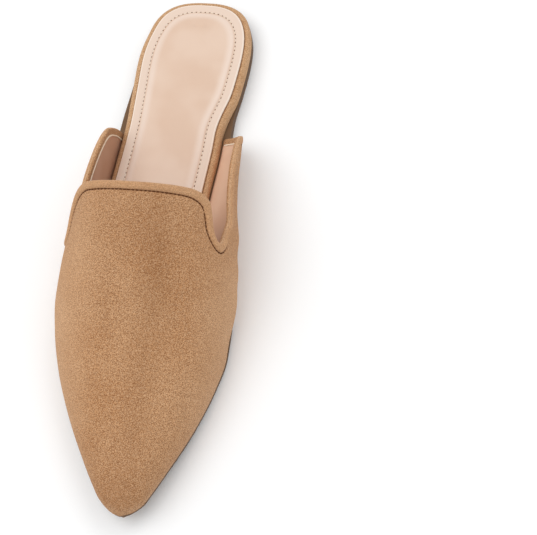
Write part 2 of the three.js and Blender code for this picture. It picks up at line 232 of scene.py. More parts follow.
def walkSection(distance, side):
    # each section from its ridge to its feather line, and the length walked along it
    footX, footZ, wideX, wideZ, ridgeX, ridgeZ = (value[:, None] for value in sectionAt(distance, side))
    down = np.linspace(0, 1, shape["sectionSteps"] + 1)[None, :]
    under = np.clip((1 - down) / shape["swellShare"], 0, 1)
    angle = np.clip(1 - down / (1 - shape["swellShare"]), 0, 1) * math.pi / 2
    isUnder = down > 1 - shape["swellShare"]
    overX = ridgeX + (wideX - ridgeX) * np.cos(angle) ** shape["sideFullness"]
    overZ = wideZ + (ridgeZ - wideZ) * np.sin(angle) ** shape["topFullness"]
    x = np.where(isUnder, wideX - (wideX - footX) * (1 - under) ** 2, overX)
    z = np.where(isUnder, footZ + (wideZ - footZ) * under, overZ)
    steps = np.hypot(np.diff(x, axis=1), np.diff(z, axis=1))
    walked = np.concatenate([np.zeros((len(x), 1)), np.cumsum(steps, axis=1)], axis=1)
    return x, z, walked


def girthAt(distance, side):
    return walkSection(distance, side)[2][:, -1]


def upperPoint(distance, girth):
    # the upper unrolls to a plane: distance from the heel, and girth from the ridge
    x, z, walked = walkSection(distance, np.where(girth < 0, -1, 1))
    wanted = np.minimum(np.abs(girth), walked[:, -1])
    after = np.clip((walked < wanted[:, None]).sum(axis=1), 1, shape["sectionSteps"])
    row = np.arange(len(after))
    span = np.maximum(walked[row, after] - walked[row, after - 1], 1e-4)
    share = (wanted - walked[row, after - 1]) / span
    px = x[row, after - 1] + (x[row, after] - x[row, after - 1]) * share
    pz = z[row, after - 1] + (z[row, after] - z[row, after - 1]) * share
    return np.stack([px + axisX, heelBack - distance, pz], axis=-1)


# How the upper's surface is felt for its slope, and its topline for its length
probing = {"step": 0.8, "tipMargin": 0.02, "noseMargin": 0.3, "girthSteps": 26, "perSpan": 50, "window": 9}


def upperNormal(distance, girth):
    tip = featherEnd - probing["tipMargin"]
    side = np.where(girth < 0, -1, 1)
    share = girth / girthAt(np.minimum(distance, tip), side)
    ahead = np.minimum(distance + probing["step"], tip)
    behind = np.minimum(distance, ahead) - probing["step"]
    first = upperPoint(behind, share * girthAt(behind, side))
    along = upperPoint(ahead, share * girthAt(ahead, side)) - first
    here = np.minimum(distance, featherEnd - probing["noseMargin"])
    whole = girthAt(here, side)
    step = np.minimum(probing["step"], whole / probing["girthSteps"])
    middle = np.clip(share * whole, step - whole, whole - step)
    across = upperPoint(here, middle + step) - upperPoint(here, middle - step)
    return unit(np.cross(along, across))


def unit(vectors):
    return vectors / np.maximum(np.linalg.norm(vectors, axis=-1, keepdims=True), 1e-9)


def centripetalCurve(points, perSpan):
    # centripetal Catmull-Rom through the points
    ends = np.vstack([2 * points[0] - points[1], points, 2 * points[-1] - points[-2]])
    u = (np.arange(perSpan) / perSpan)[:, None]
    pieces = []
    for k in range(len(points) - 1):
        p0, p1, p2, p3 = ends[k : k + 4]
        d0, d1, d2 = (np.sqrt(np.linalg.norm(b - a)) for a, b in ((p0, p1), (p1, p2), (p2, p3)))
        t1 = ((p1 - p0) / d0 - (p2 - p0) / (d0 + d1) + (p2 - p1) / d1) * d1
        t2 = ((p2 - p1) / d1 - (p3 - p1) / (d1 + d2) + (p3 - p2) / d2) * d1
        pieces.append(p1 + t1 * u + (3 * (p2 - p1) - 2 * t1 - t2) * u**2 + (2 * (p1 - p2) + t1 + t2) * u**3)
    return np.vstack([*pieces, points[-1:]])


def toplineColumns(count):
    # evenly spaced along the topline, from the medial quarter round the tongue to the lateral quarter
    rows = np.array(topline)
    medial = rows[:, [0, 1, 3]]
    lateral = rows[::-1][1:, [0, 2, 3]] * [1, -1, 1]
    at, down, foot = centripetalCurve(np.vstack([medial, lateral]), probing["perSpan"]).T
    side = np.where(np.arange(len(at)) <= len(at) // 2, 1, -1)
    distance = at * shape["length"]
    girth = down * girthAt(distance, side)
    footDown = np.minimum(1, np.abs(down) / shape["noseFan"])
    foot = np.where(footDown < 1, featherEnd, np.minimum(foot * shape["length"], featherEnd))
    walked = np.concatenate([[0], np.cumsum(np.hypot(np.diff(distance), np.diff(girth)))])
    even = np.linspace(0, walked[-1], count)
    spread = [np.interp(even, walked, values) for values in (distance, girth, foot, footDown)]
    sides = np.where(even <= walked[len(at) // 2], 1, -1)
    along = unit(np.stack([np.gradient(spread[0]), np.gradient(spread[1])], axis=-1))
    inward = np.stack([-along[:, 1], along[:, 0]], axis=-1)
    # how much the plane is stretched there, evened out, so that the band keeps its width
    step, window = probing["step"], probing["window"]
    ahead = upperPoint(spread[0] + inward[:, 0] * step, spread[1] + inward[:, 1] * step)
    stretch = np.linalg.norm(ahead - upperPoint(spread[0], spread[1]), axis=1) / step
    stretch[[0, -1]] = 1
    evened = np.convolve(np.pad(stretch, window // 2, "edge"), np.ones(window) / window, "valid")
    reach = 1 / np.maximum(evened, 0.5)
    fromTongue = np.abs(even - walked[len(at) // 2])
    for place in bandWidening:
        reach *= 1 + place["more"] * np.exp(-(((fromTongue - place["from"]) / place["reach"]) ** 2))
    return {
        "distance": spread[0],
        "girth": spread[1],
        "foot": spread[2],
        "footDown": spread[3],
        "side": sides,
        "inward": inward,
        "reach": reach,
        "walked": even,
    }


def offsetPlaces(columns, offset):
    # places in the unrolled plane at an offset inward from the topline
    reach = offset * columns["reach"]
    distance = columns["distance"] + columns["inward"][:, 0] * reach
    girth = columns["girth"] + columns["inward"][:, 1] * reach
    distance[[0, -1]] = columns["distance"][[0, -1]] + offset
    limit = girthAt(distance, columns["side"])
    beyond = np.abs(girth) > limit
    beyond[[0, -1]] = True
    return distance, np.where(beyond, columns["side"] * limit, girth)


def foldHeight(distance, girth, folds):
    # soft troughs and ridges along listed lines of the unrolled plane
    total = np.zeros_like(distance)
    for fold in folds:
        start = np.array(fold["start"]) * [shape["length"], shape["ballWidth"]]
        end = np.array(fold["end"]) * [shape["length"], shape["ballWidth"]]
        line = end - start
        share = ((distance - start[0]) * line[0] + (girth - start[1]) * line[1]) / (line @ line)
        share = np.clip(share, 0, 1)
        away = np.hypot(distance - start[0] - share * line[0], girth - start[1] - share * line[1])
        total += fold["height"] * np.exp(-((away / fold["width"]) ** 2))
    return total


def placeObject(name, data):
    holder = bpy.data.objects.new(name, data)
    bpy.context.collection.objects.link(holder)
    return holder


def makePiece(name, points, faces, material, values=None, sharpAngle=50):
    # a closed mesh in metres, doubles merged and faces pointing out
    mesh = bpy.data.meshes.new(name)
    mesh.from_pydata((np.asarray(points) * mm).tolist(), [], faces)
    for label, numbers in (values or {}).items():
        attribute = mesh.attributes.new(label, "FLOAT", "POINT")
        attribute.data.foreach_set("value", np.asarray(numbers, np.float32))
    work = bmesh.new()
    work.from_mesh(mesh)
    bmesh.ops.remove_doubles(work, verts=work.verts, dist=2e-6)
    bmesh.ops.dissolve_degenerate(work, edges=work.edges, dist=1e-6)
    bmesh.ops.recalc_face_normals(work, faces=work.faces)
    if work.calc_volume(signed=True) < 0:
        bmesh.ops.reverse_faces(work, faces=work.faces)
    openEdges = sum(1 for edge in work.edges if len(edge.link_faces) != 2)
    work.to_mesh(mesh)
    work.free()
    mesh.polygons.foreach_set("use_smooth", [True] * len(mesh.polygons))
    mesh.set_sharp_from_angle(angle=math.radians(sharpAngle))
    mesh.materials.append(material)
    piece = placeObject(name, mesh)
    triangles = sum(len(face.vertices) - 2 for face in mesh.polygons)
    print(f"{name}: {triangles} triangles, {openEdges} open edges")
    return piece


def gridFaces(rows, columns):
    # quads of a grid whose points run down each column first
    faces = []
    for k in range(columns - 1):
        a, b = k * rows, (k + 1) * rows
        faces.extend((a + row, b + row, b + row + 1, a + row + 1) for row in range(rows - 1))
    return faces


def thickSheet(outer, inner):
    # one closed sheet from two grids of equal size, (columns, rows, 3)
    columns, rows, _ = outer.shape
    shift = columns * rows
    faces = gridFaces(rows, columns)
    faces += [tuple(shift + corner for corner in face[::-1]) for face in faces]
    for k in range(columns - 1):
        a, b = k * rows, (k + 1) * rows
        faces.append((a, shift + a, shift + b, b))
        a, b = a + rows - 1, b + rows - 1
        faces.append((a, b, shift + b, shift + a))
    for row in range(rows - 1):
        faces.append((row, row + 1, shift + row + 1, shift + row))
        a = (columns - 1) * rows + row
        faces.append((a, shift + a, shift + a + 1, a + 1))
    return np.vstack([outer.reshape(-1, 3), inner.reshape(-1, 3)]), faces


# Materials: one helper for nodes, two shared groups, then one function for each finish


def colour(code):
    # a scene-linear colour from a written screen colour
    parts = [int(code[k : k + 2], 16) / 255 for k in (1, 3, 5)]
    return tuple(p / 12.92 if p <= 0.04045 else ((p + 0.055) / 1.055) ** 2.4 for p in parts) + (1,)


def feed(tree, socket, value):
    # a socket takes a link from another node, a colour's screen code, or a fixed value
    if isinstance(value, bpy.types.NodeSocket):
        tree.links.new(value, socket)
    elif isinstance(value, str) and value.startswith("#"):
        socket.default_value = colour(value)
    else:
        socket.default_value = value


def addNode(tree, kind, settings=None, **sockets):
    node = tree.nodes.new(kind)
    for name, value in (settings or {}).items():
        setattr(node, name, value)
    for name, value in sockets.items():
        feed(tree, node.inputs[name.replace("_", " ")], value)
    return node


def mathNode(tree, operation, *values):
    node = addNode(tree, "ShaderNodeMath", {"operation": operation})
    for socket, value in zip(node.inputs, values):
        feed(tree, socket, value)
    return node.outputs[0]


def mixColours(tree, share, first, second):
    node = addNode(tree, "ShaderNodeMix", {"data_type": "RGBA"})
    for index, value in ((0, share), (6, first), (7, second)):
        feed(tree, node.inputs[index], value)
    return node.outputs[2]


def remap(tree, value, low, high, toLow=0, toHigh=1):
    sockets = {"Value": value, "From_Min": low, "From_Max": high, "To_Min": toLow, "To_Max": toHigh}
    node = addNode(tree, "ShaderNodeMapRange", {"interpolation_type": "SMOOTHSTEP"}, **sockets)
    return node.outputs["Result"]


def objectPlace(tree):
    return addNode(tree, "ShaderNodeTexCoord").outputs["Object"]


def carried(tree, label):
    # a value that the mesh carries at its points
    return addNode(tree, "ShaderNodeAttribute", {"attribute_name": label}).outputs["Fac"]


def newGroup(name, inputs, outputs):
    group = bpy.data.node_groups.new(name, "ShaderNodeTree")
    for label, value in inputs.items():
        group.interface.new_socket(label, in_out="INPUT", socket_type="NodeSocketFloat").default_value = value
    for label in outputs:
        group.interface.new_socket(label, in_out="OUTPUT", socket_type="NodeSocketFloat")
    return group, group.nodes.new("NodeGroupInput").outputs, group.nodes.new("NodeGroupOutput").inputs


def noise(tree, place, scale, detail=2, roughness=0.5):
    sockets = {"Vector": place, "Scale": scale, "Detail": detail, "Roughness": roughness}
    return addNode(tree, "ShaderNodeTexNoise", None, **sockets).outputs["Fac"]


# Soft steps of the noises that the finishes are made from, and how many of the broad patches go to a metre
napSteps = {"speckle": (0.41, 0.58), "mottle": (0.4, 0.64), "patch": (0.36, 0.66), "patches": 32}
evenSteps = (0.35, 0.65)
reliefHeights = {"suede": 0.0004, "leather": 0.00012, "sock": 0.0001, "thread": 0.0001, "rubber": 0.0001}


def buildSuedeNap():
    # short brushed fibres: a fine speckle, a coarser mottle, broad soft patches, and the relief of all three
    inputs = {"Fibre": 1500, "Brushing": 700}
    group, given, wanted = newGroup("suedeNap", inputs, ["Speckle", "Mottle", "Patch", "Relief"])
    place = objectPlace(group)
    speckle = noise(group, place, given["Fibre"], 3, 0.6)
    mottle = noise(group, place, given["Brushing"], 3, 0.6)
    patch = noise(group, place, napSteps["patches"])
    links = group.links
    links.new(remap(group, speckle, *napSteps["speckle"]), wanted["Speckle"])
    links.new(remap(group, mottle, *napSteps["mottle"]), wanted["Mottle"])
    links.new(remap(group, patch, *napSteps["patch"]), wanted["Patch"])
    links.new(mathNode(group, "MULTIPLY_ADD", mottle, 0.6, speckle), wanted["Relief"])
    return group


def buildLeatherGrain():
    # fine pebbled grain of a smooth lining leather
    group, given, wanted = newGroup("leatherGrain", {"Cells": 900}, ["Grain", "Cloud"])
    place = objectPlace(group)
    sockets = {"Vector": place, "Scale": given["Cells"]}
    cells = addNode(group, "ShaderNodeTexVoronoi", {"feature": "SMOOTH_F1"}, **sockets)
    cloud = noise(group, place, 45)
    group.links.new(cells.outputs["Distance"], wanted["Grain"])
    group.links.new(remap(group, cloud, *evenSteps), wanted["Cloud"])
    return group


suedeNap = buildSuedeNap()
leatherGrain = buildLeatherGrain()


def newMaterial(name, **sockets):
    material = bpy.data.materials.new(name)
    material.use_nodes = True
    tree = material.node_tree
    shader = tree.nodes["Principled BSDF"]
    for label, value in sockets.items():
        feed(tree, shader.inputs[label.replace("_", " ")], value)
    return material, tree, shader


def placeGroup(tree, group, **sockets):
    return addNode(tree, "ShaderNodeGroup", {"node_tree": group}, **sockets).outputs


def addBump(tree, shader, height, strength, distance):
    bump = addNode(tree, "ShaderNodeBump", None, Height=height, Strength=strength, Distance=distance)
    tree.links.new(bump.outputs["Normal"], shader.inputs["Normal"])


def suedeMaterial(name, tones):
    # carried by the mesh: "brushed" is how rough the nap lies, and the other two values paint shade, and
    # highlights and sheen, into the colour
    sheen = {"Sheen_Weight": tones["sheen"], "Sheen_Roughness": 0.45, "Sheen_Tint": tones["sheenTint"]}
    material, tree, shader = newMaterial(name, Roughness=0.95, Specular_IOR_Level=0.15, **sheen)
    brushed = carried(tree, "brushed")
    nap = placeGroup(tree, suedeNap, Fibre=tones["fibre"], Brushing=tones["brushing"])
    base = mixColours(tree, nap["Patch"], tones["patch"], tones["body"])
    # painted shade darkens the colour where the mesh carries it
    shaded = mixColours(tree, carried(tree, "shade"), base, tones["shaded"])
    lightShare = mathNode(tree, "MULTIPLY", brushed, tones["mottling"])
    lightShare = mathNode(tree, "MULTIPLY", nap["Mottle"], lightShare)
    mottled = mixColours(tree, lightShare, shaded, tones["light"])
    # painted highlights and sheen lighten the colour where the mesh carries them
    mottled = mixColours(tree, carried(tree, "paintedHighlight"), mottled, tones["paintedHighlight"])
    darkShare = mathNode(tree, "MULTIPLY_ADD", nap["Speckle"], -tones["speckling"], tones["speckling"])
    darkShare = mathNode(tree, "MULTIPLY", darkShare, brushed)
    tree.links.new(mixColours(tree, darkShare, mottled, tones["dark"]), shader.inputs["Base Color"])
    tree.links.new(remap(tree, nap["Mottle"], 0, 1, 0.98, 0.86), shader.inputs["Roughness"])
    addBump(tree, shader, nap["Relief"], tones["relief"], reliefHeights["suede"])
    return material


def leatherMaterial(name, tones):
    material, tree, shader = newMaterial(name, Roughness=tones["roughness"], Specular_IOR_Level=0.35)
    grain = placeGroup(tree, leatherGrain, Cells=tones["cells"])
    body = mixColours(tree, grain["Cloud"], tones["body"], tones["light"])
    # the carried deep value paints shade into the leather
    shaded = mixColours(tree, carried(tree, "deep"), body, tones["deep"])
    tree.links.new(shaded, shader.inputs["Base Color"])
    addBump(tree, shader, grain["Grain"], tones["relief"], reliefHeights["leather"])
    return material


def sockMaterial(name, tones):
    # the padded middle is pinker than the border; the pad's rise and the cut edge are lightened with painted
    # highlights
    material, tree, shader = newMaterial(name, Specular_IOR_Level=0.4)
    grain = placeGroup(tree, leatherGrain, Cells=1100)
    inset = carried(tree, "inset")
    middle = mixColours(tree, grain["Cloud"], tones["middle"], tones["middleLight"])
    isBorder = remap(tree, inset, tones["seam"] + 0.4, tones["seam"] - 0.3)
    bordered = mixColours(tree, isBorder, middle, tones["border"])
    rising, flattening = (remap(tree, inset, *tones[label]) for label in ("rising", "flattening"))
    # painted highlight on the pad's rise
    riseHighlightMask = mathNode(tree, "MULTIPLY", rising, flattening)
    riseHighlightMask = mathNode(tree, "MULTIPLY", riseHighlightMask, tones["riseHighlightAmount"])
    bordered = mixColours(tree, riseHighlightMask, bordered, tones["riseHighlight"])
    # painted highlight along the sock's cut edge
    edgeHighlightMask = remap(tree, inset, *tones["edgeHighlightReach"])
    tree.links.new(mixColours(tree, edgeHighlightMask, bordered, tones["edge"]), shader.inputs["Base Color"])
    isPadded = remap(tree, inset, tones["seam"] + 0.5, tones["seam"] + 2)
    tree.links.new(remap(tree, isPadded, 0, 1, 0.5, 0.34), shader.inputs["Roughness"])
    addBump(tree, shader, grain["Grain"], 0.2, reliefHeights["sock"])
    return material


def threadMaterial(name, tone, deep):
    # plied thread: a fine twist along its own length
    material, tree, shader = newMaterial(name, Roughness=0.7, Specular_IOR_Level=0.25)
    place = objectPlace(tree)
    ply = noise(tree, place, 2600, 1, 0.5)
    plied = mixColours(tree, remap(tree, ply, *evenSteps), deep, tone)
    tree.links.new(plied, shader.inputs["Base Color"])
    addBump(tree, shader, ply, 0.5, reliefHeights["thread"])
    return material


def rubberMaterial(name, tones):
    # moulded sole with a fine matt grain: the wall is painted darker than the tread as shade, and painted
    # shade darkens the grooves of the tread
    material, tree, shader = newMaterial(name, Roughness=0.62, Specular_IOR_Level=0.35)
    place = objectPlace(tree)
    mottle = noise(tree, place, 120, 4, 0.6)
    grit = noise(tree, place, 2200, 2, 0.6)
    mottled = remap(tree, mottle, *evenSteps)
    tread = mixColours(tree, mottled, tones["tread"], tones["treadLight"])
    walled = mixColours(tree, carried(tree, "wallShade"), tread, tones["wall"])
    grooved = mixColours(tree, carried(tree, "groove"), walled, tones["groove"])
    tree.links.new(grooved, shader.inputs["Base Color"])
    tree.links.new(remap(tree, mottle, 0, 1, 0.55, 0.7), shader.inputs["Roughness"])
    addBump(tree, shader, grit, 0.3, reliefHeights["rubber"])
    return material


# Upper suede tones, with one colour for painted shade and one for painted highlights and sheen
upperTones = {
    "body": "#d9a87c",
    "patch": "#cc986b",
    "shaded": "#96653d",
    "paintedHighlight": "#e0b892",
    "light": "#dbb48e",
    "dark": "#80502b",
    "mottling": 0.5,
    "speckling": 0.8,
    "relief": 0.8,
    "fibre": 2600,
    "brushing": 1250,
    "sheen": 0.2,
    "sheenTint": "#f3d6ba",
}
rimTones = {**upperTones, "body": "#dbb086", "patch": "#cfa176", "light": "#e8c6a2", "dark": "#93663f"}
suedeUpper = suedeMaterial("suedeUpper", upperTones)
suedeRim = suedeMaterial("suedeRim", rimTones)
# the lining's deep tone is the colour of painted shade
liningTones = {
    "body": "#deb294",
    "light": "#e7c0a4",
    "deep": "#8e5334",
    "roughness": 0.6,
    "cells": 1000,
    "relief": 0.3,
}
liningLeather = leatherMaterial("liningLeather", liningTones)
edgeTones = {
    "body": "#f0dac0",
    "light": "#f8e8d2",
    "deep": "#d8b894",
    "roughness": 0.6,
    "cells": 1500,
    "relief": 0.2,
}
liningPaleEdge = leatherMaterial("liningPaleEdge", edgeTones)
# Sock tones: the pad's rise and the cut edge get pale tones of painted highlight
sockTones = {
    "middle": "#dbbca5",
    "middleLight": "#e1c5b0",
    "border": "#e4ccba",
    "riseHighlight": "#ecd8ca",
    "edge": "#f2e0d0",
    "seam": 4.2,
    "rising": (4.5, 5.6),
    "flattening": (9.5, 6.2),
    "riseHighlightAmount": 0.6,
    "edgeHighlightReach": (0.9, 0.35),
}
sockLeather = sockMaterial("sockLeather", sockTones)
darkThread = threadMaterial("darkThread", "#6e3f1b", "#472408")
paleThread = threadMaterial("paleThread", "#f3e6d6", "#dcc6b0")
# needle holes: dark beads of painted shade
needleHoleShade = threadMaterial("needleHoleShade", "#7d5a48", "#54392a")
# Rubber tones: the wall and groove colours are painted shade
rubberTones = {
    "tread": "#7c5f44",
    "treadLight": "#87694c",
    "wall": "#5c3f23",
    "groove": "#4a3421",
}
soleRubber = rubberMaterial("soleRubber", rubberTones)
print("materials made")

# Upper: outer suede with its rolled band and turned-in edge, and the lining inside it
upperSizes = {
    "columns": 440,
    "wallRows": 56,
    "crowding": 1.15,
    "suedeInside": -1.05,
    "turnedIn": 3.3,
    "edgeRadius": 0.42,
    "endSwell": 0.25,
    "swellFrom": 18,
    "swellTo": 40,
    "foldFade": 12,
    "foldCurve": 0.3,
}
# Across the band: offset inward from the topline, height over the upper's plain face, outside then inside
bandOutside = [
    (0, -0.95), (0.02, -0.5), (0.1, -0.1), (0.3, 0.26), (0.65, 0.58), (1.15, 0.82),
    (1.7, 0.93), (2.25, 0.94), (2.8, 0.84), (3.25, 0.62), (3.6, 0.32), (3.85, 0),
    (4.03, -0.36), (4.2, -0.55), (4.37, -0.36), (4.6, -0.08), (5, 0.04), (5.8, 0),
]
bandInside = [
    (0, -1), (0.05, -1.4), (0.15, -1.7), (0.33, -1.9), (0.6, -2), (0.9, -2.02),
    (1.2, -2.02), (1.5, -2), (1.8, -2), (2.1, -2), (2.4, -1.98), (2.7, -1.98),
    (2.95, -1.98), (3.15, -1.95), (3.3, -1.8), (3.34, -1.3), (3.6, -1.05), (5.8, -1.05),
]
# The lining's top edge in the same way, with offsets from where the turned-in suede ends
liningOutside = [(0.15, -1.55), (0.2, -1.25), (0.75, -1.15)]
liningInside = [(0.15, -1.6), (0.27, -1.85), (0.75, -1.9)]
# Soft folds of the upper in its unrolled plane: place along the length, girth from the ridge in ball widths
upperFolds = [
    {"start": (0.56, 0.1), "end": (0.7, 0.06), "width": 11, "height": -0.35},
    {"start": (0.6, 0.28), "end": (0.74, 0.24), "width": 9, "height": -0.3},
    {"start": (0.57, -0.2), "end": (0.69, -0.26), "width": 10, "height": 0.25},
    {"start": (0.72, -0.04), "end": (0.84, 0.02), "width": 9, "height": -0.2},
]
columns = toplineColumns(upperSizes["columns"])


def wallPlaces(start):
    # rulings from an offset below the band to the feather line
    distance, girth = offsetPlaces(columns, start)
    end = np.maximum(columns["foot"], columns["distance"][0] + start)
    end[[0, -1]] = distance[[0, -1]]
    endGirth = columns["side"] * columns["footDown"] * girthAt(end, columns["side"])
    endGirth[[0, -1]] = girth[[0, -1]]
    places = []
    for row in range(1, upperSizes["wallRows"] + 1):
        share = 1 - (1 - row / upperSizes["wallRows"]) ** upperSizes["crowding"]
        places.append((distance + (end - distance) * share, girth + (endGirth - girth) * share))
    return places


def sheetFace(bandRows, wallHeight):
    # one face of the upper: the band's rows, then the rulings at a plain height
    places = [(*offsetPlaces(columns, offset), height) for offset, height in bandRows]
    places += [(*place, wallHeight) for place in wallPlaces(bandRows[-1][0])]
    distance = np.stack([place[0] for place in places], axis=1)
    girth = np.stack([place[1] for place in places], axis=1)
    height = np.broadcast_to([place[2] for place in places], distance.shape)
    count = distance.size
    point = upperPoint(distance.reshape(count), girth.reshape(count)).reshape(*distance.shape, 3)
    normal = upperNormal(distance.reshape(count), girth.reshape(count)).reshape(*distance.shape, 3)
    level = unit(normal * [1, 1, 0])
    onFeather = np.zeros(distance.shape, bool)
    onFeather[:, -1] = onFeather[0] = onFeather[-1] = True
    normal = np.where(onFeather[..., None], level, normal)
    fromEnd = np.minimum(columns["walked"], columns["walked"][-1] - columns["walked"])
    least = upperSizes["endSwell"]
    taper = least + (1 - least) * smooth(upperSizes["swellFrom"], upperSizes["swellTo"], fromEnd)
    height = np.where(height > 0, height * taper[:, None], height)
    fold = foldHeight(distance, girth, upperFolds)
    down = np.linspace(1, 0, distance.shape[1])[None, :]
    fold *= smooth(0, upperSizes["foldFade"], featherEnd - distance) * down ** upperSizes["foldCurve"]
    point = point + normal * (height + fold)[..., None]
    floorZ = soleTop(distance / shape["length"]) + shape["clearance"]
    point[..., 2] = np.maximum(point[..., 2], floorZ)
    return point


# How the nap lies: calmer down the sides of the vamp. Painted sheen pales those sides, a painted highlight
# the toe's feather line, and painted shade darkens soft patches. Places are shares of the length and, across,
# of the ball's width.
napSides = {
    "calmer": {"amount": 0.3, "middle": 0.05, "across": (0.2, 0.5), "at": (0.5, 0.62)},
    "paintedSheen": {"amount": 0.34, "middle": 0.04, "across": (0.2, 0.46), "at": (0.5, 0.62)},
}
# painted highlight: a pale line just over the toe's feather line
toeHighlight = {"amount": 0.5, "at": (0.66, 0.78), "up": 2.5, "reach": 2.2}
# On the band: painted shade in the stitch groove, calmer nap near the seam, and painted highlights along the
# crest and at the very edge
bandTones = {"groove": 0.95, "reach": 0.34, "calmest": 0.65, "calmTo": 1.5, "paintedHighlight": 0.16, "edge": 0.5}
# painted shade: soft darker patches over the vamp, the tongue and the toe
paintedShadePatches = [
    {"at": 0.62, "across": 0.12, "reach": (0.12, 0.1), "amount": 0.42},
    {"at": 0.8, "across": 0.06, "reach": (0.12, 0.08), "amount": 0.3},
    {"at": 0.7, "across": -0.14, "reach": (0.07, 0.07), "amount": 0.12},
    {"at": 0.55, "across": -0.05, "reach": (0.06, 0.3), "amount": 0.16},
    {"at": 0.97, "across": 0.0, "reach": (0.09, 0.3), "amount": 0.34},
]


def napDownSides(side, at, across):
    outward = smooth(*side["across"], np.abs(across - side["middle"]))
    return side["amount"] * outward * smooth(*side["at"], at)


def napShadeAndHighlight(points):
    at = (heelBack - points[:, 1]) / shape["length"]
    across = (points[:, 0] - axisX) / shape["ballWidth"]
    shade = np.zeros_like(at)
    for place in paintedShadePatches:
        away = ((at - place["at"]) / place["reach"][0]) ** 2
        away += ((across - place["across"]) / place["reach"][1]) ** 2
        shade += place["amount"] * np.exp(-away)
    # painted highlight over the toe's feather line
    up = points[:, 2] - soleTop(at) - shape["clearance"]
    overFeather = np.exp(-(((up - toeHighlight["up"]) / toeHighlight["reach"]) ** 2))
    # painted sheen pales the sides of the vamp
    paintedHighlight = napDownSides(napSides["paintedSheen"], at, across)
    paintedHighlight += toeHighlight["amount"] * smooth(*toeHighlight["at"], at) * overFeather
    return {"brushed": 1 - napDownSides(napSides["calmer"], at, across), "shade": shade, "paintedHighlight": paintedHighlight}


suedeOuter = sheetFace(bandOutside, 0)
suedeInner = sheetFace(bandInside, upperSizes["suedeInside"])
suedePoints, suedeFaces = thickSheet(suedeOuter, suedeInner)
suedeValues = napShadeAndHighlight(suedePoints)
perColumn = suedeOuter.shape[1]
# painted shade down the stitch groove, calmer nap on the band, and painted highlights on its crest and very
# edge
for row, (offset, _) in enumerate(bandOutside):
    onRow = slice(row, suedeOuter.shape[0] * perColumn, perColumn)
    fromSeam = offset - shape["bandWidth"]
    calmest = bandTones["calmest"]
    suedeValues["shade"][onRow] += bandTones["groove"] * np.exp(-((fromSeam / bandTones["reach"]) ** 2))
    suedeValues["brushed"][onRow] *= calmest + (1 - calmest) * smooth(-0.2, bandTones["calmTo"], fromSeam)
    suedeValues["paintedHighlight"][onRow] += bandTones["paintedHighlight"] * smooth(0, -1.2, fromSeam)
    suedeValues["paintedHighlight"][onRow] += bandTones["edge"] * smooth(0.5, 0, offset)
upperSuede = makePiece("upperSuede", suedePoints, suedeFaces, suedeUpper, suedeValues, 75)


def liningFace(edge):
    rows = [(upperSizes["turnedIn"] + offset, height) for offset, height in edge]
    return sheetFace(rows, edge[-1][1])


# Painted shade: the lining darkens under the tongue, and towards the lateral side
liningShade = {"under": 0.8, "from": 0.42, "to": 0.58, "lateral": 0.4, "near": -5, "far": -15}
liningPoints, liningFaces = thickSheet(liningFace(liningOutside), liningFace(liningInside))
liningAt = (heelBack - liningPoints[:, 1]) / shape["length"]
liningPaintedShade = liningShade["under"] * smooth(liningShade["from"], liningShade["to"], liningAt)
liningAcross = liningPoints[:, 0] - axisX
liningPaintedShade += liningShade["lateral"] * smooth(liningShade["near"], liningShade["far"], liningAcross)
liningDeep = {"deep": liningPaintedShade}
upperLining = makePiece("upperLining", liningPoints, liningFaces, liningLeather, liningDeep, 75)
print("upper made")


def toplinePath(offset, height, skip=3):
    distance, girth = offsetPlaces(columns, offset)
    distance, girth = distance[skip:-skip], girth[skip:-skip]
    normal = upperNormal(distance, girth)
    fold = foldHeight(distance, girth, upperFolds)
    return upperPoint(distance, girth) + normal * (height + fold)[:, None], normal


def sweptTube(path, normal, radius, sides=8):
    # a round bead along an open path, closed at both ends
    tangent = unit(np.gradient(path, axis=0))
    sideways = unit(np.cross(tangent, normal))
    turn = (np.arange(sides) / sides * 2 * math.pi)[:, None]
    ring = sideways[:, None] * np.cos(turn) + np.cross(sideways, tangent)[:, None] * np.sin(turn)
    points = path[:, None] + ring * radius
    count = len(path)
    faces = []
    for k in range(count - 1):
        for s in range(sides):
            t = (s + 1) % sides
            faces.append((k * sides + s, (k + 1) * sides + s, (k + 1) * sides + t, k * sides + t))
    faces += [tuple(range(sides)), tuple((count - 1) * sides + s for s in reversed(range(sides)))]
    return points.reshape(-1, 3), faces


edgePath = toplinePath(upperSizes["turnedIn"] + 0.35, -1.95)
liningEdge = makePiece("liningEdge", *sweptTube(*edgePath, upperSizes["edgeRadius"]), liningPaleEdge)

# Stitches and needle holes: one Geometry Nodes tree, fed with a path that carries its surface's normal


